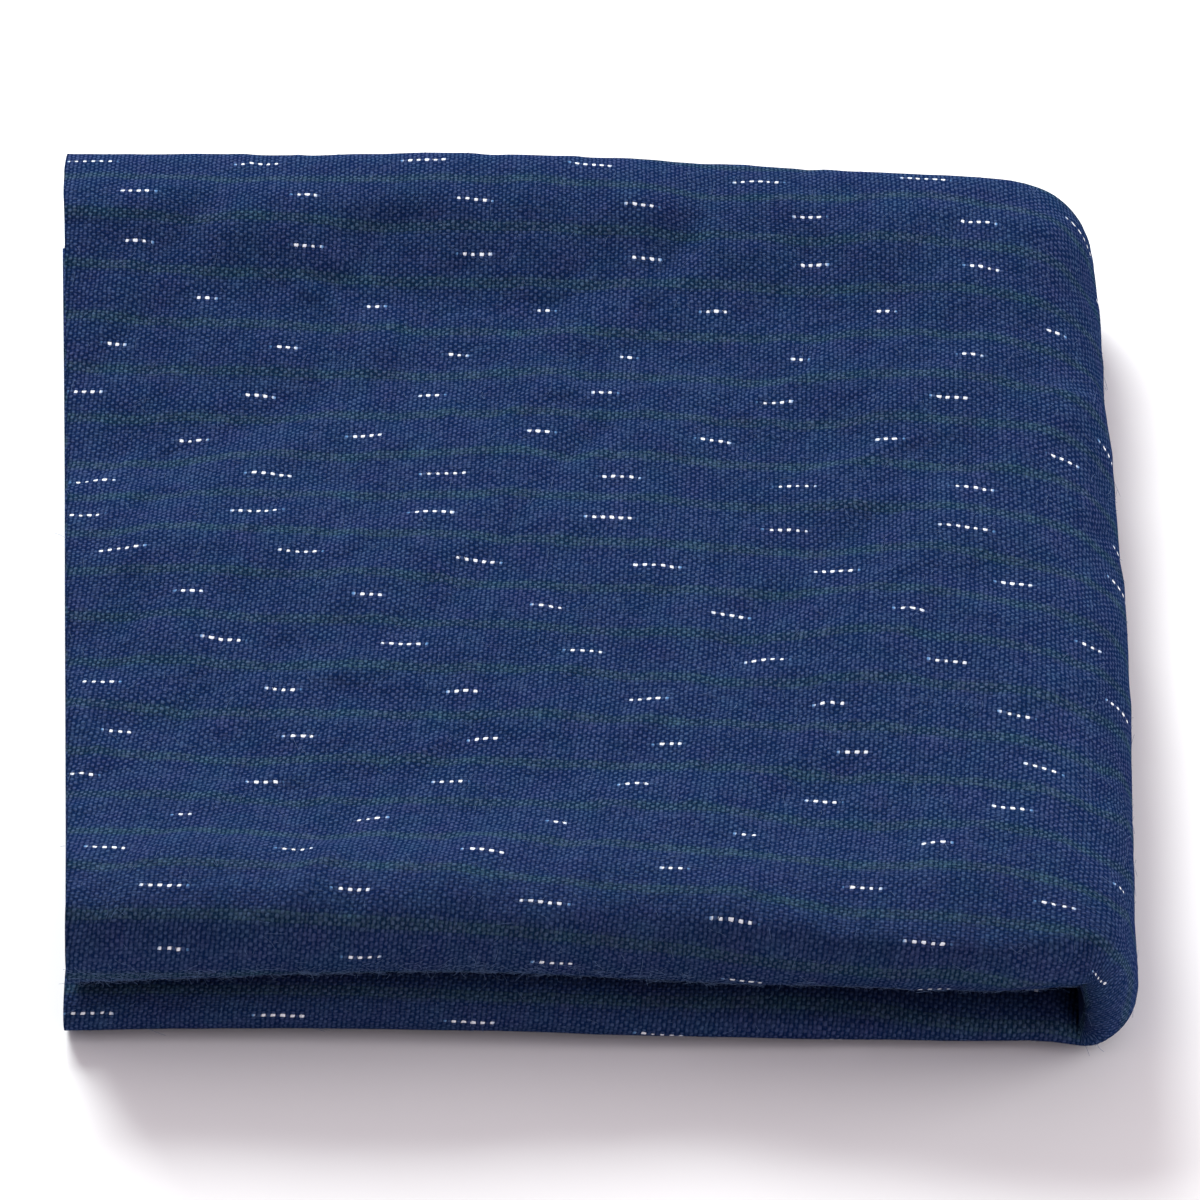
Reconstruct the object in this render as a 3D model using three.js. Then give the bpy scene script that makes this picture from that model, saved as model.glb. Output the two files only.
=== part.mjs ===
import * as THREE from "three";

// A length of ikat cotton, folded in three from front to back and then doubled over to one side.
// Millimetres: X along the stripes, Y to the back, Z up from the table.
// The cloth starts as one flat box, cut into steps, and each corner of a step is moved to its folded place.

const thick = 1; // sheet thickness
const backCrest = 64.8; // Y of the back crest, where the top is highest before it rounds down
const body = 131.4; // from the back crest to the front crest
const backRound = 6; // how far the back fold rounds past its crest
const innerGap = 0.95; // height of the innermost layer over the surface where the two halves meet
const middleShare = 0.45; // height of the middle layer, as a share of the way to the outer one
const meetShare = 0.48; // height where the halves meet behind the rim, as a share of the whole
const tuckedEnd = 125; // where the end inside the fold stops, from the back crest
const looseEnd = 3; // where the end between the halves stops, from the back crest
const rimBlend = { start: 116, end: 130 }; // where the heights change over to those of the rim
const fullUnder = 0.6; // power that fills the underside of the upper front fold
const fullSide = 0.4; // power that fills the corners of the doubled side
const cutEdge = { back: -61.8, front: -52.3 }; // X of the cut ends, on a slant
const cutRun = { back: 74, length: 147 }; // Y of the slant's back end, and its length

// Plan of the rounded back edge.
const backEdge = [
  { x: -62, y: 71.4 },
  { x: -17, y: 71.4 },
  { x: 3, y: 70.6 },
  { x: 15, y: 70.0 },
  { x: 27, y: 68.5 },
  { x: 35, y: 67.2 },
  { x: 45, y: 65.8 },
  { x: 52, y: 65.6 },
  { x: 62, y: 66.0 },
];

// Plan of the doubled side.
const sideEdge = [
  { y: 74, x: 61.0 },
  { y: 62, x: 61.5 },
  { y: 53, x: 61.5 },
  { y: 0, x: 60.0 },
  { y: -60, x: 59.1 },
  { y: -74, x: 58.8 },
];

// How far the doubled side rounds past its straight part, going forward from the back crest.
const sideRound = [
  { from: 0, reach: 9.5 },
  { from: 25, reach: 13 },
  { from: 90, reach: 13.5 },
  { from: 131, reach: 9.5 },
];

// Height of the top over the table, going forward from the back crest, at five places across.
const acrossX = [-39.5, -15, 10, 35.5, 49];
const topHeights = [
  { from: 0, z: [16.5, 16.5, 16.5, 16.5, 16.2] },
  { from: 10, z: [15.0, 14.1, 14.7, 15.6, 15.8] },
  { from: 20, z: [13.0, 11.7, 12.3, 14.5, 15.1] },
  { from: 30, z: [11.5, 10.7, 11.2, 13.6, 14.5] },
  { from: 40, z: [10.6, 10.8, 11.3, 13.4, 14.3] },
  { from: 50, z: [10.5, 11.5, 11.7, 13.3, 14.2] },
  { from: 60, z: [11.4, 11.9, 11.6, 13.3, 14.3] },
  { from: 70, z: [12.1, 12.2, 11.6, 13.8, 14.6] },
  { from: 80, z: [12.0, 12.2, 12.2, 14.4, 15.0] },
  { from: 90, z: [11.8, 12.4, 12.6, 14.6, 15.2] },
  { from: 100, z: [11.9, 12.7, 12.9, 14.8, 15.4] },
  { from: 110, z: [12.1, 13.3, 13.5, 15.4, 15.8] },
  { from: 120, z: [14.4, 15.0, 14.8, 16.1, 16.3] },
  { from: 127, z: [16.5, 16.8, 16.1, 16.9, 16.8] },
  { from: 132, z: [16.9, 17.5, 16.5, 17.1, 16.9] },
];

// Front rim: the height where the halves meet, and how far each half rounds past the front crest.
const rim = [
  { x: -55, meet: 5.8, upper: 6.2, lower: 6.7 },
  { x: -38, meet: 6.7, upper: 6.0, lower: 6.8 },
  { x: -22, meet: 7.5, upper: 6.0, lower: 6.9 },
  { x: -7, meet: 7.3, upper: 6.0, lower: 7.2 },
  { x: 8, meet: 6.3, upper: 6.0, lower: 7.5 },
  { x: 24, meet: 5.5, upper: 6.1, lower: 7.6 },
  { x: 34, meet: 5.1, upper: 6.2, lower: 7.6 },
  { x: 52, meet: 5.1, upper: 6.3, lower: 7.8 },
];

// Corner tuck: a crease that slants down the front of the doubled side, and a bulge at its foot.
const crease = { topX: 51.3, footX: 53.6, height: 7.8, depth: 2.6, half: 1.4, fadeFrom: 6.8, fadeTo: 9.8 };
const bulge = { x: 54, half: 3, depth: 2.1, bottom: 1, top: 8 };

// Steps that the flat cut is divided into, for each part of the two folds.
const steps = { flat: 12, side: 12, layer: 13, backFold: 7, frontFold: 10 };

const { clamp, lerp, smoothstep } = THREE.MathUtils;

// Height of the smooth curve through a table's rows at one place; past the ends it stays level.
function through(places, values, place) {
  const rising = Math.sign(places.at(-1) - places[0]);
  const at = rising * clamp(rising * place, rising * places[0], rising * places.at(-1));
  let k = 0;
  while (k < places.length - 2 && (at - places[k + 1]) * rising > 0) k += 1;
  const slope = (i) => {
    const before = Math.max(i - 1, 0);
    const after = Math.min(i + 1, places.length - 1);
    return (values[after] - values[before]) / (places[after] - places[before]);
  };
  const width = places[k + 1] - places[k];
  const t = (at - places[k]) / width;
  const rise = values[k + 1] - values[k];
  const leave = slope(k) * width;
  const arrive = slope(k + 1) * width;
  const square = 3 * rise - 2 * leave - arrive;
  const cube = leave + arrive - 2 * rise;
  return values[k] + leave * t + square * t ** 2 + cube * t ** 3;
}

// The value that a table gives in one column, for a place in another column.
function lookUp(table, known, place, wanted) {
  const places = table.map((row) => row[known]);
  const values = table.map((row) => row[wanted]);
  return through(places, values, place);
}

function topAt(x, from) {
  const froms = topHeights.map((row) => row.from);
  const across = acrossX.map((_, k) => through(froms, topHeights.map((row) => row.z[k]), from));
  return through(acrossX, across, x) - thick / 2;
}

function meetAt(x, from) {
  const onRim = smoothstep(from, rimBlend.start, rimBlend.end);
  return lerp(topAt(x, from) * meetShare, lookUp(rim, "x", x, "meet"), onRim);
}

// How far the front face is pushed back at the corner.
function tuckAt(x, z) {
  const up = clamp(z / crease.height, 0, 1);
  const beside = (x - lerp(crease.footX, crease.topX, up)) / crease.half;
  const fading = 1 - smoothstep(z, crease.fadeFrom, crease.fadeTo);
  const inward = crease.depth * smoothstep(up, 0.05, 0.5) * fading * Math.exp(-(beside ** 2));
  const low = 1 - smoothstep(z, bulge.bottom, bulge.top);
  const outward = bulge.depth * low * Math.exp(-(((x - bulge.x) / bulge.half) ** 2));
  return inward - outward;
}

// The fold in three: stations along the cloth, each so far from the back crest, in a layer or round a fold.
function foldedInThree() {
  const stations = [{ from: tuckedEnd, layer: "middle", round: 0 }];
  const run = (count, layer, start, end, turn) => {
    for (let k = 1; k <= count; k += 1) {
      const t = k / count;
      stations.push({ from: lerp(start, end, t), layer, round: turn * t });
    }
  };
  run(steps.layer, "middle", tuckedEnd, 0, 0);
  run(steps.backFold, "backFold", 0, 0, Math.PI);
  run(steps.layer, "outer", 0, body, 0);
  run(steps.frontFold, "frontFold", body, body, Math.PI);
  run(steps.layer, "inner", body, looseEnd, 0);
  return stations;
}

// The doubling: along the upper half, round the side, and back along the lower half.
function doubledOver() {
  const flat = Array.from({ length: steps.flat }, (_, k) => k / steps.flat);
  const upper = flat.map((share) => ({ share, turn: 0 }));
  const round = Array.from({ length: steps.side + 1 }, (_, k) => k / steps.side);
  const side = round.map((share) => ({ share: 1, turn: share * Math.PI }));
  const lower = flat.toReversed().map((share) => ({ share, turn: Math.PI }));
  return [...upper, ...side, ...lower];
}

// The folded place of one corner of a step, on the cloth's middle surface.
function folded(across, along) {
  const y0 = backCrest - along.from;
  const round = lookUp(sideRound, "from", along.from, "reach");
  const straight = lookUp(sideEdge, "y", y0, "x") - round;
  const cut = lerp(cutEdge.back, cutEdge.front, (cutRun.back - y0) / cutRun.length);
  const x = lerp(cut, straight, across.share);
  const swing = Math.sin(across.turn);
  const lower = (1 - Math.cos(across.turn)) / 2;

  const crest = lookUp(backEdge, "x", x + round * swing, "y") - backRound;
  let y = y0 + (crest - backCrest) * (1 - along.from / body);
  const meet = meetAt(x, along.from);
  const outer = lerp(topAt(x, along.from) - meet, meet - thick / 2, lower);
  const middle = lerp(innerGap, outer, middleShare);
  const bend = Math.sin(along.round);
  const bent = (1 - Math.cos(along.round)) / 2;
  let height = { outer, middle, inner: innerGap }[along.layer];
  if (along.layer === "backFold") {
    height = lerp(middle, outer, bent);
    y += backRound * bend;
  }
  if (along.layer === "frontFold") {
    height = lerp(outer, innerGap, bent);
    const reach = lerp(lookUp(rim, "x", x, "upper"), lookUp(rim, "x", x, "lower"), lower);
    const power = bent > 0.5 ? lerp(fullUnder, 1, lower) : 1;
    y -= reach * Math.max(bend, 0) ** power;
  }
  const outward = Math.max((height - innerGap) / (outer - innerGap), 0) ** fullSide;
  const sideways = lerp(innerGap, round, outward) * swing;
  const place = new THREE.Vector3(x + sideways, y, meet + height * Math.cos(across.turn));
  if (along.layer === "frontFold") place.y += tuckAt(place.x, place.z) * bend;
  return place;
}

// The flat cut, moved step by step to its folded places, each side half a thickness off the middle surface.
function foldedCloth() {
  const rows = doubledOver();
  const columns = foldedInThree();
  const grid = rows.map((across) => columns.map((along) => folded(across, along)));
  const at = (i, j) => grid[clamp(i, 0, rows.length - 1)][clamp(j, 0, columns.length - 1)];
  const [wide, long] = [rows.length - 1, columns.length - 1];
  const cut = new THREE.BoxGeometry(wide, long, 1, wide, long, 1);
  const corners = cut.getAttribute("position");
  for (let k = 0; k < corners.count; k += 1) {
    const i = Math.round(corners.getX(k) + wide / 2);
    const j = Math.round(corners.getY(k) + long / 2);
    const acrossStep = at(i + 1, j).clone().sub(at(i - 1, j));
    const alongStep = at(i, j + 1).clone().sub(at(i, j - 1));
    const off = acrossStep.cross(alongStep).normalize();
    const corner = at(i, j).clone().addScaledVector(off, corners.getZ(k) * thick);
    corners.setXYZ(k, corner.x, corner.y, corner.z);
  }
  cut.computeBoundingBox();
  const middle = cut.boundingBox.getCenter(new THREE.Vector3());
  cut.translate(-middle.x, -middle.y, -cut.boundingBox.min.z);
  cut.computeVertexNormals();
  return cut;
}

const indigoCotton = new THREE.MeshStandardMaterial({ color: "#273b61", roughness: 0.92, metalness: 0 });
const cloth = new THREE.Mesh(foldedCloth(), indigoCotton);
cloth.name = "cloth";
const bundle = new THREE.Group();
bundle.add(cloth);
export default bundle;
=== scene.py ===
# a folded length of indigo cotton with white dashes and faint green stripes
import random
from math import cos, exp, hypot, pi, radians, sin

import bmesh
import bpy
from mathutils import Matrix, Vector, noise


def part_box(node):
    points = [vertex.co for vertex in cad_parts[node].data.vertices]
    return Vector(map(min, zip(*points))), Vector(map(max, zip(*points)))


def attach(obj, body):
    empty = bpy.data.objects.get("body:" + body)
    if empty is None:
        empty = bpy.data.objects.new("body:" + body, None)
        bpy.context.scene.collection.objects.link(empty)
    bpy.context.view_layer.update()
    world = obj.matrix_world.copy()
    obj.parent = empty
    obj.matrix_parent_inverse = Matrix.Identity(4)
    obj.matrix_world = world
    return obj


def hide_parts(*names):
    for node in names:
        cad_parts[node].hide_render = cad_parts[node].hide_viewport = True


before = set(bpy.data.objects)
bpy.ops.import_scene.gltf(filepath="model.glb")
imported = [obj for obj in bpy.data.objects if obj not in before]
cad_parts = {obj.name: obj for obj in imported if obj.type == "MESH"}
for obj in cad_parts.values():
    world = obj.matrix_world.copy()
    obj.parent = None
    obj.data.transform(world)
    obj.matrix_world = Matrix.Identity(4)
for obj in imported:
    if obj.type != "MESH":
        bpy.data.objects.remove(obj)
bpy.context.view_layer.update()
mm = 0.001
print("frame loaded", sorted(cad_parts))


# camera: a long lens, well above the cloth
view = {
    "elevation": 38,  # degrees above the horizon
    "distance": 0.764,
    "lens": 206.4,
    "sensor": 36,
    "near": 0.05,
    "far": 20,
    "aim": (0.0029, -0.0105, 0.0121),
}


def makeCamera():
    tilt = radians(view["elevation"])
    data = bpy.data.cameras.new("camera")
    data.lens = view["lens"]
    data.sensor_width = view["sensor"]
    data.clip_start = view["near"]
    data.clip_end = view["far"]
    camera = bpy.data.objects.new("camera", data)
    camera.location = Vector(view["aim"]) + Vector((0, -cos(tilt), sin(tilt))) * view["distance"]
    camera.rotation_euler = (pi / 2 - tilt, 0, 0)
    bpy.context.scene.collection.objects.link(camera)
    bpy.context.scene.camera = camera


# small helpers for numbers
def mix(a, b, share):
    return a + (b - a) * share


def ease(value, start, end):
    share = min(max((value - start) / (end - start), 0), 1)
    return share * share * (3 - 2 * share)


def spread(start, end, steps):
    return [start + (end - start) * k / steps for k in range(steps + 1)]


def through(places, values, place):
    # a smooth line through a row of a table, level past its ends
    at = min(max(place, places[0]), places[-1])
    k = 0
    while k < len(places) - 2 and at > places[k + 1]:
        k += 1

    def slope(n):
        before = max(n - 1, 0)
        after = min(n + 1, len(places) - 1)
        return (values[after] - values[before]) / (places[after] - places[before])

    width = places[k + 1] - places[k]
    share = (at - places[k]) / width
    rise = values[k + 1] - values[k]
    first = slope(k) * width
    last = slope(k + 1) * width
    curve = 3 * rise - 2 * first - last
    return values[k] + first * share + curve * share**2 + (first + last - 2 * rise) * share**3


# the folded cloth, in millimetres, laid out as its solid is
fold = {
    "thick": 1,  # of the solid, whose outer face the cloth's outer face keeps
    "centre": (-0.1, -2.0),
    "backCrest": 64.8,  # where the back fold starts
    "body": 131.4,  # from there to the start of the front fold
    "backRound": 6,
    "innerGap": 0.95,  # from where the halves meet to their inner layers
    "middleShare": 0.45,  # of the way from the inner layer to the outer one
    "meetShare": 0.48,  # of the height, where the upper and the lower half meet
    "tuckedEnd": 125,
    "looseEnd": 3,
    "rimBlend": (116, 130),  # where the top's heights turn into the rim's
    "square": (0.7, 1.6),  # of the side turn's upper and lower half, where 1 is round
    "leftToRight": (0, 45),  # where the next three turn from the left's value into the right's
    "fullUnder": (0.6, 1),  # of the front fold's lower half, where 1 is round and less is fuller
    "fullOver": (0.95, 0.3),  # of its shoulder
    "nose": (1, 0.6),  # of the whole fold, where less than 1 lifts its foremost line
    "fullSide": 0.4,  # of the side behind the front fold
    "fullCorner": (0.45, 2.6),  # of the front fold round the side, in depth and in reach
    "cutEdge": (-61.9, -52.5),  # back and front
    "lowerCut": 0.6,  # further out below
    "cutFrom": 74,
    "cutLength": 147,
}
backEdge = {
    "x": [-62, -17, 3, 12, 20, 28, 37, 42, 47, 54, 58, 62],
    "y": [71.4, 71.4, 70.7, 69.9, 68.7, 67.8, 67.7, 67.4, 66.5, 64.9, 63.5, 60.8],
}
sideEdge = {
    "y": [-74, -60, -45, -20, 0, 20, 40, 62, 74],
    "x": [58.5, 58.9, 59.7, 60.8, 61.4, 61.2, 61.2, 61.4, 60.9],
}
sideRound = {"from": [0, 25, 90, 118, 131], "reach": [9.5, 13, 13.5, 9, 5.5]}
topHeights = {
    "x": [-39.5, -15, 10, 35.5, 49],
    "from": [0, 5, 10, 20, 30, 40, 50, 60, 70, 80, 90, 100, 110, 120, 127, 132],
    "z": [
        [16.1, 16.6, 15.8, 13.1, 11.6, 10.6, 10.5, 11.4, 12.1, 12.0, 11.8, 11.9, 12.0, 14.2, 16.7, 17.0],
        [16.1, 16.1, 14.6, 11.7, 10.7, 10.8, 11.5, 11.9, 12.2, 12.2, 12.4, 12.7, 13.2, 14.9, 17.0, 17.5],
        [16.1, 16.2, 14.9, 12.3, 11.2, 11.3, 11.7, 11.6, 11.6, 12.2, 12.6, 12.9, 13.4, 14.7, 16.2, 16.6],
        [16.1, 16.4, 15.8, 14.4, 13.6, 13.4, 13.3, 13.3, 13.8, 14.4, 14.6, 14.8, 15.4, 16.1, 16.9, 17.1],
        [15.9, 16.3, 16.0, 15.1, 14.5, 14.3, 14.2, 14.3, 14.6, 15.0, 15.2, 15.4, 15.8, 16.3, 16.8, 16.9],
    ],
}
rim = {
    "x": [-55, -38, -22, -7, 8, 24, 34, 44, 52],
    "meet": [5.8, 6.7, 7.5, 7.3, 6.3, 5.5, 5.1, 5.1, 5.1],
    "upper": [6.3, 6.3, 6.3, 6.3, 6.5, 7.8, 9.5, 10.5, 9.5],
    "lower": [5.9, 6.0, 6.2, 6.6, 7.0, 7.2, 7.2, 7.3, 7.3],
}
crease = {
    "topX": 52.2,
    "footX": 54.0,
    "height": 7.8,
    "depth": 0.5,
    "half": 2.2,  # of its width
    "deepen": (0.05, 0.5),  # shares of the height
    "fade": (5.4, 7.6),  # heights
}
bulge = {"x": 54, "half": 3, "depth": 1.2, "fade": (1, 8)}


def topAt(x, start):
    across = [through(topHeights["from"], row, start) for row in topHeights["z"]]
    return through(topHeights["x"], across, x) - fold["thick"] / 2


def tuckAt(x, z):
    # the corner's slanted crease, and the cloth that swells below it
    up = min(max(z / crease["height"], 0), 1)
    beside = (x - mix(crease["footX"], crease["topX"], up)) / crease["half"]
    inward = crease["depth"] * ease(up, *crease["deepen"]) * (1 - ease(z, *crease["fade"]))
    inward *= exp(-(beside**2))
    swell = bulge["depth"] * (1 - ease(z, *bulge["fade"]))
    swell *= exp(-(((x - bulge["x"]) / bulge["half"]) ** 2))
    return inward - swell


def folded(across, along):
    # where a point of the flat cloth lies once it is folded
    share, turn = across
    start, layer, bendAt = along
    y = fold["backCrest"] - start
    reach = through(sideRound["from"], sideRound["reach"], start)
    straight = through(sideEdge["y"], sideEdge["x"], y) - reach
    cut = mix(*fold["cutEdge"], (fold["cutFrom"] - y) / fold["cutLength"])
    lower = (1 - cos(turn)) / 2
    x = mix(cut - fold["lowerCut"] * lower, straight, share)
    swing = max(sin(turn), 0) ** fold["square"][0 if turn < pi / 2 else 1]
    crest = through(backEdge["x"], backEdge["y"], x + reach * swing) - fold["backRound"]
    y += (crest - fold["backCrest"]) * (1 - start / fold["body"])
    top = topAt(x, start)
    meet = mix(top * fold["meetShare"], through(rim["x"], rim["meet"], x), ease(start, *fold["rimBlend"]))
    outer = mix(top - meet, meet - fold["thick"] / 2, lower)
    inner = fold["innerGap"]
    middle = mix(inner, outer, fold["middleShare"])
    height = {"outer": outer, "middle": middle, "inner": inner}.get(layer)
    bend = sin(bendAt)
    bent = (1 - cos(bendAt)) / 2
    if layer == "backFold":
        height = mix(middle, outer, bent)
        y += fold["backRound"] * bend
    if layer == "frontFold":
        height = mix(outer, inner, bent)
        depth = mix(through(rim["x"], rim["upper"], x), through(rim["x"], rim["lower"], x), lower)
        right = ease(x, *fold["leftToRight"])
        full = mix(*fold["fullUnder" if bent > 0.5 else "fullOver"], right)
        power = mix(mix(full, 1, lower), fold["fullCorner"][0], swing)
        nose = mix(mix(*fold["nose"], right), 1, min(2 * lower, 1))
        y -= depth * max(sin(pi * (bendAt / pi) ** nose), 0) ** power
    sideFull = fold["fullCorner"][1] if layer == "frontFold" else fold["fullSide"]
    outward = max((height - inner) / (outer - inner), 0) ** sideFull
    x += mix(inner, reach, outward) * swing
    z = meet + height * cos(turn)
    if layer == "frontFold":
        y += tuckAt(x, z) * bend
    return Vector((x, y, z))


# soft forms on the top: troughs below zero and ridges above, in millimetres
forms = [
    # from x, y to x, y, half width, height
    (-62, 14, -37, 23, 4.0, -0.5),
    (-37, 23, -12, 36, 4.0, -0.5),
    (-60, -8, -30, 2, 5.0, 0.5),
    (-44, 7, -28, 22, 3.0, 0.4),
    (-24, 57, -29, 36, 3.5, -0.5),
    (1, 56, 3, 44, 3.5, -0.4),
    (15, 60, 8, 46, 3.5, -0.4),
    (6, 26, -1, 16, 1.6, -0.35),
    (-1, 16, -7, 2, 1.8, -0.3),
    (22, 29, 17, 23, 1.5, -0.3),
]
formFade = 1.5  # past the ends of a form, in half widths
# fine creases all over, and patches of sharper ridges, in millimetres
crinkle = {
    "sizes": [(15, 0.95), (7.5, 0.6), (3.6, 0.32)],  # wavelength and height of each run of creases
    "lean": radians(62),  # of the creases, from the front edge
    "stretch": 0.6,  # along their lean, where 1 is none and less is more
    "seed": 4.2,
    "bendSeed": 7,  # of the noise that bends the creases
    "bendSize": 0.6,  # bends in a wavelength
    "bendReach": 0.7,  # wavelengths
    "back": 0.4,  # how much of it the back fold and the side keep
    "side": 0.15,
    "backReach": 8,  # in front of the back fold
    "sideFade": (-0.3, 0.8),  # by the cosine of the side turn
}
ridge = {
    "size": 11,
    "half": 0.10,
    "height": 0.38,
    "bendSize": 20,
    "bendReach": 0.6,
    "patchSize": 17,
    "patchEdge": (-0.05, 0.3),
}


def formAt(x, y):
    total = 0
    for x0, y0, x1, y1, half, height in forms:
        run = hypot(x1 - x0, y1 - y0)
        along = ((x - x0) * (x1 - x0) + (y - y0) * (y1 - y0)) / run
        beside = ((x - x0) * (y1 - y0) - (y - y0) * (x1 - x0)) / run
        past = max(-along, along - run, 0)
        total += height * exp(-((beside / half) ** 2) - (past / half / formFade) ** 2)
    return total


def crinkleAt(place):
    lengthwise = Vector((cos(crinkle["lean"]), sin(crinkle["lean"]), 0))
    at = place - lengthwise * lengthwise.dot(place) * (1 - crinkle["stretch"])
    total = 0
    for k, (size, height) in enumerate(crinkle["sizes"]):
        here = at / size
        here.z += crinkle["seed"] * (k + 1)
        bend = noise.noise_vector(here * crinkle["bendSize"]) * crinkle["bendReach"]
        total += height * noise.noise(here + bend)
    here = at / ridge["size"] + Vector((0, 0, crinkle["seed"]))
    here += noise.noise_vector(place / ridge["bendSize"]) * ridge["bendReach"]
    some = ease(noise.noise(place / ridge["patchSize"]), *ridge["patchEdge"])
    return total + some * ridge["height"] * exp(-((noise.noise(here) / ridge["half"]) ** 2))


# the thread lines, as the cloth lies: a little off its folds
grain = {
    "u": [-60, -40, -20, 0, 20, 36, 44, 50, 56, 62, 85, 107, 130, 170],
    "v": [-4, 12, 28, 44, 60, 76, 92, 104, 116, 124, 130, 134, 140, 144, 152],
    "slack": [  # how far the rows run behind their folds, a column for each u
        [0.1, 1.6, 1.8, 1.0, -0.3, 1.7, 3.0, 3.5, 3.3, 2.2, 1.6, 2.2, 2.6, 2.8, 3.1],
        [-0.1, 0.7, 0.4, 0.7, 1.3, 1.9, 1.7, 0.9, 0.9, 1.6, 2.0, 2.3, 2.7, 2.8, 3.0],
        [0.5, 0.8, 0.4, 0.4, 0.4, 0.6, 0.3, 0.3, 0.8, 1.0, 1.0, 1.1, 1.3, 1.7, 2.5],
        [0.9, 0.8, 0.3, 1.2, 0.6, -0.6, 0.4, -0.2, -0.6, -0.5, -0.6, 0.1, 0.6, 1.2, 2.4],
        [-2.4, 0.6, -0.2, -0.1, 0.3, 0.5, -0.4, -0.3, -1.1, -1.5, -1.5, -1.0, -0.6, -0.2, -1.0],
        [0.9, 0.1, 0.3, 0.4, -0.1, 0.0, -0.6, -1.6, -2.4, -2.7, -2.6, -2.4, -2.1, -2.1, -4.0],
        [1.2, 0.0, 0.1, 0.3, -0.2, -0.2, -0.8, -2.0, -3.3, -3.6, -3.6, -3.2, -2.9, -2.9, -5.0],
        [0.4, -0.3, 0.0, 0.6, -0.5, -0.7, -1.2, -2.4, -3.8, -4.1, -4.0, -3.5, -2.9, -2.9, -4.5],
        [-1.2, -0.4, 0.0, 0.6, -0.1, -1.1, -1.2, -2.8, -3.9, -4.4, -4.6, -2.6, -1.4, -1.0, -0.5],
        [-3.0, -0.5, 0.2, 0.6, 0.4, 0.6, 1.6, 2.0, 0.8, 1.0, 1.6, 2.8, 3.2, 3.2, 3.0],
        [0, 0, 0, 0.4, 0.4, 0.6, 0.6, 0.6, 0.8, 1.0, 1.2, 1.6, 1.2, 0.4, 0.4],
        [0, 0, 0, 0, 0, -0.3, -0.7, -1.0, -1.2, -1.3, -1.4, -1.5, -2.0, -2.6, -2.6],
        [0, -0.2, -0.6, -1.0, -1.6, -2.2, -2.8, -3.1, -3.4, -3.6, -3.9, -4.2, -4.6, -3.4, -3.0],
        [0, -0.2, -0.6, -1.1, -1.8, -2.6, -3.4, -3.8, -4.2, -4.5, -4.8, -5.0, -5.2, -3.5, -3.2],
    ],
    "first": 10.53,  # from the chart's start to the back edge
    "under": -5,  # of the crosswise counts, on the lower half
    "leanV": [0, 24, 48, 72, 96, 120, 144, 160],
    "lean": [0.2, 0.7, 1.7, 2.5, 4.1, 6.1, 8.6, 11.0],
}


def grainAt(u, v):
    columns = [through(grain["v"], column, v) for column in grain["slack"]]
    slack = through(grain["u"], columns, u)
    return u + through(grain["leanV"], grain["lean"], v), v + slack + grain["first"]


# the mesh
cloth = {
    "thickness": 0.5,  # millimetres
    "upper": 122,  # steps across the upper half, the side turn and the lower half
    "side": 36,
    "lower": 38,
    "inner": 12,  # steps along the inner layer, front fold, outer layer, back fold and middle layer
    "front": 22,
    "outer": 150,
    "back": 12,
    "middle": 12,
}


def stations():
    across = [(share, 0) for share in spread(0, 1, cloth["upper"])]
    across += [(1, turn) for turn in spread(0, pi, cloth["side"])[1:]]
    across += [(share, pi) for share in spread(1, 0, cloth["lower"])[1:]]
    body = fold["body"]
    along = [(start, "inner", 0) for start in spread(fold["looseEnd"], body, cloth["inner"])]
    along += [(body, "frontFold", bend) for bend in spread(pi, 0, cloth["front"])[1:]]
    along += [(start, "outer", 0) for start in spread(body, 0, cloth["outer"])[1:]]
    along += [(0, "backFold", bend) for bend in spread(pi, 0, cloth["back"])[1:]]
    along += [(start, "middle", 0) for start in spread(0, fold["tuckedEnd"], cloth["middle"])[1:]]
    return across, along


def lengths(points):
    total = [0]
    for k in range(1, len(points)):
        total.append(total[-1] + (points[k] - points[k - 1]).length)
    return total


def acrossLengths(rows, across, guide):
    # lengths along each row from the middle of the upper half, shifted below the side so that every row
    # is as far round as the guide row
    uppers = range(cloth["upper"])
    lowers = range(cloth["upper"] + cloth["side"], len(across))
    found = []
    for row in rows:
        run = lengths(row)
        top = min(uppers, key=lambda i: abs(row[i].x))
        low = min(lowers, key=lambda i: abs(row[i].x))
        found.append(([at - run[top] + row[top].x for at in run], low, row[low].x))
    us, low, x = found[guide]
    meeting = us[low] + x
    for us, low, x in found:
        late = meeting - x - us[low] + grain["under"]
        for i in range(len(across)):
            us[i] += late * ease(across[i][1], pi / 2, pi)
    return [us for us, low, x in found]


def foldGrid(bm, across, along):
    # rows of points, one for each place along the cloth, where the folds put them
    wide, long = len(across) - 1, len(along) - 1
    size = Matrix.Diagonal((wide / 2, long / 2, 1, 1))
    bmesh.ops.create_grid(bm, x_segments=wide, y_segments=long, size=1, matrix=size)
    rows = [[None] * (wide + 1) for row in along]
    for vert in bm.verts:
        rows[round(vert.co.y + long / 2)][round(vert.co.x + wide / 2)] = vert
    for j, row in enumerate(rows):
        for i, vert in enumerate(row):
            vert.co = folded(across[i], along[j])
    bm.normal_update()
    return rows


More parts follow.
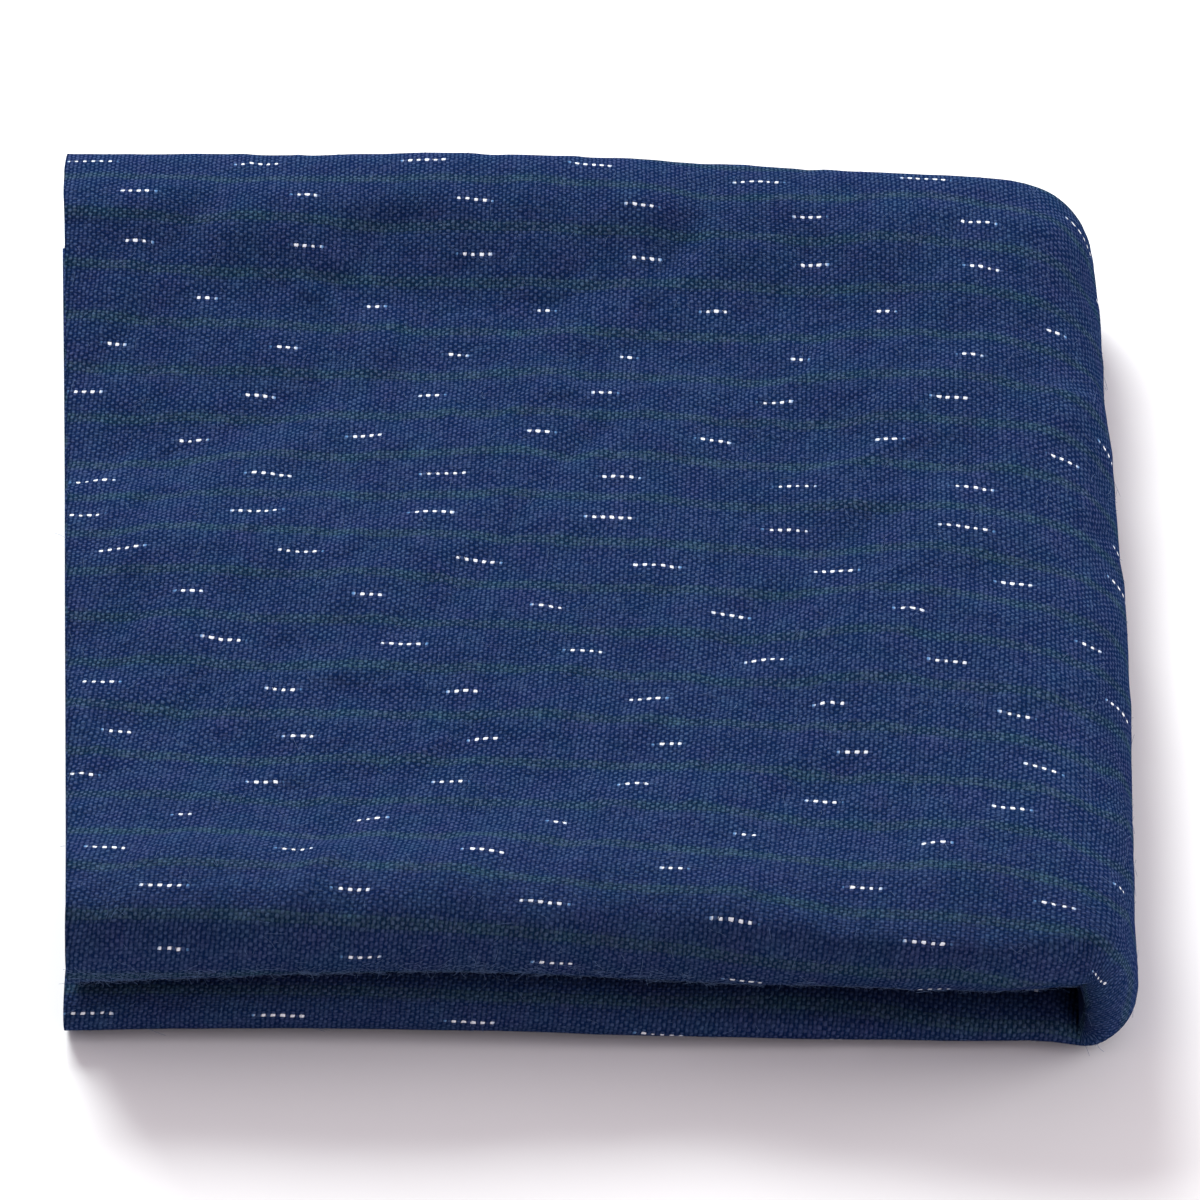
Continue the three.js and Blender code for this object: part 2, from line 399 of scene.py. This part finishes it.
def layFlat(bm, rows, across, along):
    # flat coordinates, measured along the outer face from the back edge and the middle
    outside = [[vert.co + vert.normal * cloth["thickness"] for vert in row] for row in rows]
    frontEnd = cloth["inner"] + cloth["front"]
    backRow = frontEnd + cloth["outer"]
    us = acrossLengths(outside, across, backRow - cloth["outer"] // 2)
    level = us[frontEnd]
    # the threads keep together round the corner
    for j in range(cloth["inner"], frontEnd):
        under = ease(along[j][2], pi / 2, pi)
        us[j] = [mix(kept, own, under) for kept, own in zip(level, us[j])]
    vs = [lengths([row[i] for row in outside]) for i in range(len(across))]
    flat = {}
    for j, row in enumerate(rows):
        for i, vert in enumerate(row):
            u, v = grainAt(us[j][i], vs[i][backRow] - vs[i][j])
            flat[vert] = (u * mm, v * mm)
    layer = bm.loops.layers.uv.new("flat")
    for face in bm.faces:
        face.smooth = True
        for loop in face.loops:
            loop[layer].uv = flat[loop.vert]


def crumple(rows, across, along):
    # relief on the outer layer, dying out where the cloth is folded away
    moves = []
    for j, row in enumerate(rows):
        start, name, bendAt = along[j]
        half = 0.5 * cos(bendAt)
        shown = {"outer": 1, "frontFold": 0.5 + half, "backFold": 0.5 - half}.get(name, 0)
        kept = {"backFold": crinkle["back"]}.get(name, 1)
        if name == "outer":
            kept = mix(crinkle["back"], 1, ease(start, 0, crinkle["backReach"]))
        for i, vert in enumerate(row):
            facing = cos(across[i][1])
            upward = ease(facing, *crinkle["sideFade"]) * kept
            height = crinkleAt(vert.co) * shown * mix(crinkle["side"], 1, upward)
            height += formAt(vert.co.x, vert.co.y) * shown * (0.5 + 0.5 * facing)
            moves.append((vert, vert.normal * height))
    for vert, move in moves:
        vert.co += move


def makeCloth():
    noise.seed_set(crinkle["bendSeed"])
    across, along = stations()
    bm = bmesh.new()
    rows = foldGrid(bm, across, along)
    layFlat(bm, rows, across, along)
    crumple(rows, across, along)

    # millimetres to metres, on the place of the solid
    solidLow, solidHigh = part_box("cloth")
    for vert in bm.verts:
        vert.co.x = (vert.co.x - fold["centre"][0]) * mm + (solidLow.x + solidHigh.x) / 2
        vert.co.y = (vert.co.y - fold["centre"][1]) * mm + (solidLow.y + solidHigh.y) / 2
        vert.co.z = vert.co.z * mm + solidLow.z
    bm.normal_update()
    wall = cloth["thickness"] * mm
    outside = rows[cloth["inner"] : -cloth["middle"] - 1]
    skin = [[(vert.co + vert.normal * wall, vert.normal.copy()) for vert in row] for row in outside]
    mesh = bpy.data.meshes.new("ikatCloth")
    bm.to_mesh(mesh)
    bm.free()
    piece = bpy.data.objects.new("ikatCloth", mesh)
    bpy.context.scene.collection.objects.link(piece)
    solid = piece.modifiers.new("thickness", "SOLIDIFY")
    solid.thickness = wall
    solid.offset = 1
    return piece, skin


# loose fibres, curling off the skin
fibres = {
    "count": 2600,
    "edge": 1500,  # more along the front fold's lower edge, where their painted sheen lightens it
    "edgeBends": (3, 9),  # steps of the front fold
    "length": (0.6, 2.4),  # millimetres
    "steps": 4,  # from root to tip
    "clear": 0.6,  # no roots lower than this
    "thickness": 0.032,
    "rise": 0.2,  # the most, of the length
    "leastRise": 0.2,  # of the most
    "curl": 1.1,  # radians, from root to tip
    "ahead": (0, 1, 0.1),  # a direction that the skin hardly faces
    # the fibres' own blue, lightened with painted sheen
    "colour": (0.10, 0.16, 0.30, 1),
    "shine": 0.1,
    "seed": 5,
}


def makeFibres(skin):
    draw = random.Random(fibres["seed"])
    data = bpy.data.curves.new("looseFibres", "CURVE")
    data.dimensions = "3D"
    data.bevel_depth = fibres["thickness"] / 2 * mm
    data.bevel_resolution = 0
    data.use_fill_caps = True
    for k in range(fibres["count"] + fibres["edge"]):
        j = draw.randrange(len(skin) - 1)
        i = draw.randrange(len(skin[0]) - 1)
        if k >= fibres["count"]:
            j = draw.randrange(*fibres["edgeBends"])
            i = draw.randrange(cloth["upper"])
        root, normal = skin[j][i]
        root = root.lerp(skin[j + 1][i + 1][0], draw.random())
        if root.z < fibres["clear"] * mm:
            continue
        length = mix(*fibres["length"], draw.random() ** 2) * mm  # most are short
        heading = draw.uniform(0, 2 * pi)
        curl = draw.uniform(-1, 1) * fibres["curl"]
        rise = draw.uniform(fibres["leastRise"], 1) * fibres["rise"]
        side = normal.cross(Vector(fibres["ahead"])).normalized()
        ahead = normal.cross(side)
        spline = data.splines.new("POLY")
        spline.points.add(fibres["steps"])
        at = root - normal * fibres["thickness"] * mm
        for n, point in enumerate(spline.points):
            point.co = (at.x, at.y, max(at.z, fibres["thickness"] * mm), 1)  # none below the floor
            turn = heading + curl * n / fibres["steps"]
            onward = side * cos(turn) + ahead * sin(turn) + normal * rise
            at = at + onward * length / fibres["steps"]
    piece = bpy.data.objects.new("looseFibres", data)
    bpy.context.scene.collection.objects.link(piece)
    return piece


def fibreMaterial():
    material = bpy.data.materials.new("looseFibre")
    material.use_nodes = True
    shader = material.node_tree.nodes["Principled BSDF"]
    # the fibres' blue, with painted sheen in it
    shader.inputs["Base Color"].default_value = fibres["colour"]
    shader.inputs["Roughness"].default_value = dyeAndShade["roughness"]
    shader.inputs["Specular IOR Level"].default_value = fibres["shine"]
    return material


# node helpers
def addNode(tree, kind, inputs=(), **settings):
    # each input is a link, a value or None, by its name or in order
    node = tree.nodes.new(kind)
    for name, value in settings.items():
        setattr(node, name, value)
    for slot, value in inputs.items() if isinstance(inputs, dict) else enumerate(inputs):
        if isinstance(value, bpy.types.NodeSocket):
            tree.links.new(value, node.inputs[slot])
        elif value is not None:
            node.inputs[slot].default_value = value
    return node


def calc(tree, operation, a, b=None, c=None):
    return addNode(tree, "ShaderNodeMath", (a, b, c), operation=operation).outputs[0]


def span(tree, value, fromLow, fromHigh, toLow=0, toHigh=1):
    return addNode(tree, "ShaderNodeMapRange", (value, fromLow, fromHigh, toLow, toHigh)).outputs[0]


def noiseNode(tree, place, scale, detail):
    return addNode(tree, "ShaderNodeTexNoise", {"Vector": place, "Scale": scale, "Detail": detail})


def addVector(tree, work, first, second):
    return addNode(tree, "ShaderNodeVectorMath", (first, second), operation=work).outputs[0]


def blendColour(tree, share, a, b, kind="MIX"):
    inputs = {"Factor": share, 6: a, 7: b}
    return addNode(tree, "ShaderNodeMix", inputs, data_type="RGBA", blend_type=kind).outputs[2]


def chance(tree, a, b):
    # a random number from 0 to 1 for each pair of whole numbers
    pair = addNode(tree, "ShaderNodeCombineXYZ", (a, b, 0)).outputs[0]
    return addNode(tree, "ShaderNodeTexWhiteNoise", {"Vector": pair}, noise_dimensions="2D").outputs["Value"]


def newGroup(name, inputs, outputs):
    tree = bpy.data.node_groups.new(name, "ShaderNodeTree")
    for way, titles in (("INPUT", inputs), ("OUTPUT", outputs)):
        for title in titles:
            tree.interface.new_socket(name=title, in_out=way, socket_type="NodeSocketFloat")
    return tree, tree.nodes.new("NodeGroupInput").outputs, tree.nodes.new("NodeGroupOutput").inputs


# plain weave: one thread over, one thread under
weave = {
    "Crosswise Half": 0.40,  # half a thread's width, as a share of its room
    "Crosswise Crown": 0.85,
    "Lengthwise Half": 0.55,
    "Lengthwise Crown": 0.3,
    "Wave": 0.5,  # how far a thread rises and dips
    "Crosswise Wobble": 0.18,  # of each float about its place
    "Lengthwise Wobble": 0.45,
    "Slant": 0.1,  # of each float, from the twist of its thread
}


def weaveGroup():
    # Across and Along count the crosswise and the lengthwise threads
    tree, given, made = newGroup(
        "plainWeave",
        ["Across", "Along", "Lengthwise Lift", *weave],
        ["Lengthwise On Top", "Across Number", "Along Number", "Height"],
    )
    i = calc(tree, "FLOOR", given["Across"])
    j = calc(tree, "FLOOR", given["Along"])
    wobble = calc(tree, "SUBTRACT", chance(tree, i, j), 0.5)
    heights = []
    for run, other, shift, side, name in (
        ("Across", j, -0.5, "Along", "Lengthwise"),
        ("Along", i, 0.5, "Across", "Crosswise"),
    ):
        wave = calc(tree, "ADD", calc(tree, "ADD", given[run], other), shift)
        centre = calc(tree, "COSINE", calc(tree, "MULTIPLY", wave, pi))
        offset = calc(tree, "ADD", calc(tree, "FRACT", given[side]), -0.5)
        ahead = calc(tree, "ADD", calc(tree, "FRACT", given[run]), -0.5)
        offset = calc(tree, "MULTIPLY_ADD", ahead, given["Slant"], offset)
        offset = calc(tree, "MULTIPLY_ADD", wobble, given[name + " Wobble"], offset)
        share = calc(tree, "DIVIDE", offset, given[name + " Half"])
        left = calc(tree, "SUBTRACT", 1, calc(tree, "MULTIPLY", share, share))
        crown = calc(tree, "SQRT", calc(tree, "MAXIMUM", left, 0))
        crown = calc(tree, "MULTIPLY", crown, given[name + " Crown"])
        heights.append(calc(tree, "MULTIPLY_ADD", centre, given["Wave"], crown))
    heights[0] = calc(tree, "ADD", heights[0], given["Lengthwise Lift"])
    top = calc(tree, "GREATER_THAN", *heights)
    height = calc(tree, "MAXIMUM", *heights)
    results = {"Lengthwise On Top": top, "Across Number": i, "Along Number": j, "Height": height}
    for name, value in results.items():
        tree.links.new(value, made[name])
    return tree


# the dyer's chart: where each row's white dash starts, in crosswise threads, and its number of floats
chart = {
    "repeat": 40,  # crosswise threads from dash to dash
    "rowThreads": 18,  # lengthwise threads from row to row
    "starts": [13, 4, 16, 17, 34, 14, 9, 35, 14, 12, 23, 0, 9, 24, 30, 24, 9, 35, 9, 13],
    "floats": [4, 6, 4, 4, 3, 3, 4, 4, 5, 6, 5, 4, 5, 4, 4, 4, 3, 4, 5, 4],
    "mostFloats": 10,
    "uneven": (-1.4, 0.1),  # floats more or fewer in each half of a dash
    "dashEdge": (-1.4, 0.9),  # floats from undyed to dyed
    "stripeEdge": (1, 2.5),  # lengthwise threads from its middle
}


def chartGroup():
    tree, given, made = newGroup("dashChart", ["Across", "Along Number"], ["White", "Stripe"])
    every = chart["rowThreads"]
    row = calc(tree, "FLOOR", calc(tree, "DIVIDE", calc(tree, "ADD", given["Along Number"], 0.5), every))
    thread = calc(tree, "SUBTRACT", given["Along Number"], calc(tree, "MULTIPLY", row, every))
    onDash = calc(tree, "LESS_THAN", thread, 0.5)
    apart = calc(tree, "ABSOLUTE", calc(tree, "SUBTRACT", thread, every / 2))
    stripe = span(tree, apart, *chart["stripeEdge"], 1, 0)
    count = len(chart["starts"])
    place = calc(tree, "DIVIDE", calc(tree, "ADD", calc(tree, "FLOORED_MODULO", row, count), 0.5), count)
    ramp = addNode(tree, "ShaderNodeValToRGB", (place,))
    ramp.color_ramp.interpolation = "CONSTANT"
    stops = ramp.color_ramp.elements
    for k, (start, floats) in enumerate(zip(chart["starts"], chart["floats"])):
        stop = stops[k] if k < len(stops) else stops.new(k / count)
        stop.position = k / count
        stop.color = (start / chart["repeat"], floats / chart["mostFloats"], 0, 1)
    entry = addNode(tree, "ShaderNodeSeparateColor", (ramp.outputs[0],)).outputs
    centre = calc(tree, "MULTIPLY", entry[0], chart["repeat"])
    moved = calc(tree, "SUBTRACT", given["Across"], calc(tree, "ADD", centre, -chart["repeat"] / 2))
    dash = calc(tree, "FLOOR", calc(tree, "DIVIDE", moved, chart["repeat"]))
    beside = calc(tree, "FLOORED_MODULO", moved, chart["repeat"])
    beside = calc(tree, "SUBTRACT", beside, chart["repeat"] / 2)
    more = span(tree, chance(tree, dash, row), 0, 1, *chart["uneven"])
    half = calc(tree, "MULTIPLY_ADD", entry[1], chart["mostFloats"], more)
    reach = calc(tree, "SUBTRACT", half, calc(tree, "ABSOLUTE", beside))
    white = calc(tree, "MULTIPLY", span(tree, reach, *chart["dashEdge"]), onDash)
    tree.links.new(white, made["White"])
    tree.links.new(stripe, made["Stripe"])
    return tree


# the dyed cotton, with painted shade in the gaps between its threads and painted sheen on its crowns
dyeAndShade = {
    "crosswise": 0.5,  # millimetres from thread to thread
    "lengthwise": 0.4524,
    "wander": [(0.35, 0.3), (1.3, 0.24)],  # of the threads: bends in a millimetre, and reach
    # painted shade in the gaps and painted sheen on the crowns, plain and in the green stripe
    "shadedGap": (0.0042, 0.0150, 0.061, 1),
    "crown": (0.0425, 0.0695, 0.159, 1),
    "shadedGreenGap": (0.0045, 0.018, 0.050, 1),
    "green": (0.059, 0.108, 0.158, 1),
    "greenShare": (0.5, 1),  # on the crosswise and on the lengthwise threads
    "pale": (0.12, 0.26, 0.50, 1),
    "white": (0.80, 0.84, 0.90, 1),
    "whiteLift": (0.0, 0.35),
    "roughness": 0.85,
    "crumple": 0.3,
    "crumpleSize": 0.5,  # bends in a millimetre
    "depth": 0.10,  # millimetres from the gaps to the crowns
}
# how light the cotton is, from 0 for the painted shade in the gaps to 1 for the painted sheen on the crowns
shade = {
    "heights": (0.5, 1.2),
    "lengthwise": 0.92,  # of the lengthwise threads, against the crosswise ones
    "thread": 0.22,  # how far each thing sways it
    "spot": 0.42,
    "cloud": 0.25,
    "cloudSize": (0.3, 3),  # bends in a millimetre, and finer steps
    "fibre": 1.6,
    "fibreSize": (3.2, 1),
    "evenedBand": (122, 142),  # from the chart's start, where the painted shade and sheen of the weave are evened out, on the front fold and past it
    "evenedShare": 0.25,
    "even": 0.5,  # the share between painted shade and painted sheen that they are evened towards
}
# the tint, which drifts from violet to teal
tint = {
    "violet": (1.12, 0.93, 1.0, 1),
    "teal": (0.89, 1.07, 1.0, 1),
    "span": (0.3, 0.7),
    "thread": 0.06,
    "float": 0.04,
    "patch": 0.9,
    "patchSize": (0.22, 3),
}
# where a float counts as undyed: by its height, and by how far it lies inside its dash
undyed = {"covered": (0.4, 0.7), "edge": (0.05, 0.4), "pale": (0.4, 0.8)}


def threadPlaces(tree, millimetres):
    # counts of the crosswise and the lengthwise threads, which wander a little, and the place down the chart
    place = millimetres
    for size, reach in dyeAndShade["wander"]:
        drift = noiseNode(tree, millimetres, size, 1).outputs["Color"]
        drift = addVector(tree, "ADD", drift, (-0.5,) * 3)
        drift = addVector(tree, "MULTIPLY", drift, (reach,) * 3)
        place = addVector(tree, "ADD", place, drift)
    sides = addNode(tree, "ShaderNodeSeparateXYZ", (place,)).outputs
    across = calc(tree, "DIVIDE", sides[0], dyeAndShade["crosswise"])
    along = calc(tree, "DIVIDE", sides[1], dyeAndShade["lengthwise"])
    return across, along, sides[1]


def wovenThreads(tree, across, along):
    # the chart's white dashes and stripes, and the weave with its thicker undyed threads
    i = calc(tree, "FLOOR", across)
    j = calc(tree, "FLOOR", along)
    design = addNode(tree, "ShaderNodeGroup", (across, j), node_tree=chartGroup()).outputs
    lift = span(tree, chance(tree, i, j), 0, 1, *dyeAndShade["whiteLift"])
    lift = calc(tree, "MULTIPLY", design["White"], lift)
    inputs = {"Across": across, "Along": along, "Lengthwise Lift": lift, **weave}
    threads = addNode(tree, "ShaderNodeGroup", inputs, node_tree=weaveGroup())
    return design["White"], design["Stripe"], threads.outputs


def threadShade(tree, millimetres, threads, tone, down):
    # the share from the painted shade in the gaps to the painted sheen on the crowns, swayed at random
    top, i, j, height = threads
    spot = calc(tree, "POWER", chance(tree, i, j), 2)
    cloud = noiseNode(tree, millimetres, *shade["cloudSize"]).outputs[0]
    fibre = noiseNode(tree, millimetres, *shade["fibreSize"]).outputs[0]
    found = span(tree, height, *shade["heights"])
    found = calc(tree, "MULTIPLY", found, span(tree, top, 0, 1, 1, shade["lengthwise"]))
    for name, value in {"thread": tone, "spot": spot, "cloud": cloud, "fibre": fibre}.items():
        sway = shade[name] / 2
        found = calc(tree, "ADD", found, span(tree, value, 0, 1, -sway, sway))
    # on the front fold and past it, the painted shade and sheen are evened out a little
    evenedShare = span(tree, down, *shade["evenedBand"], 0, shade["evenedShare"])
    return addNode(tree, "ShaderNodeMix", (evenedShare, None, found, shade["even"])).outputs[0]


def threadTint(tree, millimetres, threads, tone):
    top, i, j, height = threads
    patch = noiseNode(tree, millimetres, *tint["patchSize"]).outputs[0]
    hue = calc(tree, "MULTIPLY", chance(tree, j, i), tint["float"])
    hue = calc(tree, "ADD", calc(tree, "MULTIPLY", tone, tint["thread"]), hue)
    hue = calc(tree, "ADD", hue, calc(tree, "MULTIPLY", patch, tint["patch"]))
    return blendColour(tree, span(tree, hue, *tint["span"]), tint["violet"], tint["teal"])


def clothMaterial():
    material = bpy.data.materials.new("indigoCotton")
    material.use_nodes = True
    tree = material.node_tree
    tree.nodes.clear()
    flat = addNode(tree, "ShaderNodeUVMap", uv_map="flat").outputs[0]
    millimetres = addVector(tree, "MULTIPLY", flat, (1 / mm,) * 3)
    across, along, down = threadPlaces(tree, millimetres)
    white, stripe, threads = wovenThreads(tree, across, along)
    top, i, j, height = threads

    # a tone for each thread, crosswise or lengthwise
    crosswise = calc(tree, "MULTIPLY", i, calc(tree, "SUBTRACT", 1, top))
    thread = calc(tree, "ADD", calc(tree, "MULTIPLY", j, top), crosswise)
    tone = chance(tree, thread, top)
    green = calc(tree, "MULTIPLY", stripe, span(tree, top, 0, 1, *dyeAndShade["greenShare"]))
    # painted sheen on the crowns and painted shade in the gaps, blended by the thread shade
    crown = blendColour(tree, green, dyeAndShade["crown"], dyeAndShade["green"])
    shadedGap = blendColour(tree, stripe, dyeAndShade["shadedGap"], dyeAndShade["shadedGreenGap"])
    colour = blendColour(tree, threadShade(tree, millimetres, threads, tone, down), shadedGap, crown)
    colour = blendColour(tree, 1.0, colour, threadTint(tree, millimetres, threads, tone), "MULTIPLY")
    covered = calc(tree, "MULTIPLY", top, span(tree, height, *undyed["covered"]))
    share = calc(tree, "MULTIPLY", span(tree, white, *undyed["edge"]), covered)
    cotton = blendColour(tree, span(tree, white, *undyed["pale"]), dyeAndShade["pale"], dyeAndShade["white"])
    colour = blendColour(tree, share, colour, cotton)

    crumpled = noiseNode(tree, millimetres, dyeAndShade["crumpleSize"], 1).outputs[0]
    height = calc(tree, "MULTIPLY_ADD", crumpled, dyeAndShade["crumple"] / dyeAndShade["depth"], height)
    relief = {"Height": height, "Distance": dyeAndShade["depth"] * mm, "Strength": 1.0}
    bump = addNode(tree, "ShaderNodeBump", relief).outputs[0]
    inputs = {"Base Color": colour, "Normal": bump, "Roughness": dyeAndShade["roughness"], "Specular IOR Level": 0}
    shader = addNode(tree, "ShaderNodeBsdfPrincipled", inputs)
    addNode(tree, "ShaderNodeOutputMaterial", (shader.outputs[0],))
    return material


# the floor and the studio light
studio = {
    "floor": 1.2,  # metres
    "floorColour": (0.94, 0.94, 0.94, 1),
    "floorRoughness": 0.9,
    "world": 0.5,
    "worldColour": (1.04, 0.93, 1, 1),
    "key": {"size": 0.6, "power": 24.0, "place": (-0.35, 0.95, 0.62), "colour": (0.95, 1, 0.99)},
    "fill": {"size": 0.9, "power": 6.5, "place": (1.0, 0.05, 0.4), "colour": (1, 1, 1)},
    "front": {"size": 0.3, "power": 0.45, "place": (0.5, -0.34, 0.16), "colour": (1, 0.8, 0.84)},
}


def makeStudio():
    bm = bmesh.new()
    bmesh.ops.create_grid(bm, x_segments=2, y_segments=2, size=studio["floor"] / 2)
    mesh = bpy.data.meshes.new("floor")
    bm.to_mesh(mesh)
    bm.free()
    floor = bpy.data.objects.new("floor", mesh)
    bpy.context.scene.collection.objects.link(floor)
    paper = bpy.data.materials.new("palePaper")
    paper.use_nodes = True
    shader = paper.node_tree.nodes["Principled BSDF"]
    shader.inputs["Base Color"].default_value = studio["floorColour"]
    shader.inputs["Roughness"].default_value = studio["floorRoughness"]
    mesh.materials.append(paper)
    for name in ("key", "fill", "front"):
        lamp = studio[name]
        data = bpy.data.lights.new(name, "AREA")
        data.size = lamp["size"]
        data.energy = lamp["power"]
        data.color = lamp["colour"]
        light = bpy.data.objects.new(name, data)
        light.location = lamp["place"]
        light.rotation_euler = (-Vector(lamp["place"])).to_track_quat("-Z", "Y").to_euler()
        bpy.context.scene.collection.objects.link(light)
    world = bpy.data.worlds.new("studio")
    world.use_nodes = True
    sky = world.node_tree.nodes["Background"]
    sky.inputs["Color"].default_value = studio["worldColour"]
    sky.inputs["Strength"].default_value = studio["world"]
    bpy.context.scene.world = world
    bpy.context.scene.view_settings.view_transform = "Standard"


makeCamera()
print("camera made")
ikatCloth, skin = makeCloth()
print("cloth folded", len(ikatCloth.data.vertices), "points")
ikatCloth.data.materials.append(clothMaterial())
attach(ikatCloth, "root")
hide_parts("cloth")
looseFibres = makeFibres(skin)
looseFibres.data.materials.append(fibreMaterial())
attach(looseFibres, "root")
print("cloth dressed")
makeStudio()
print("studio lit")
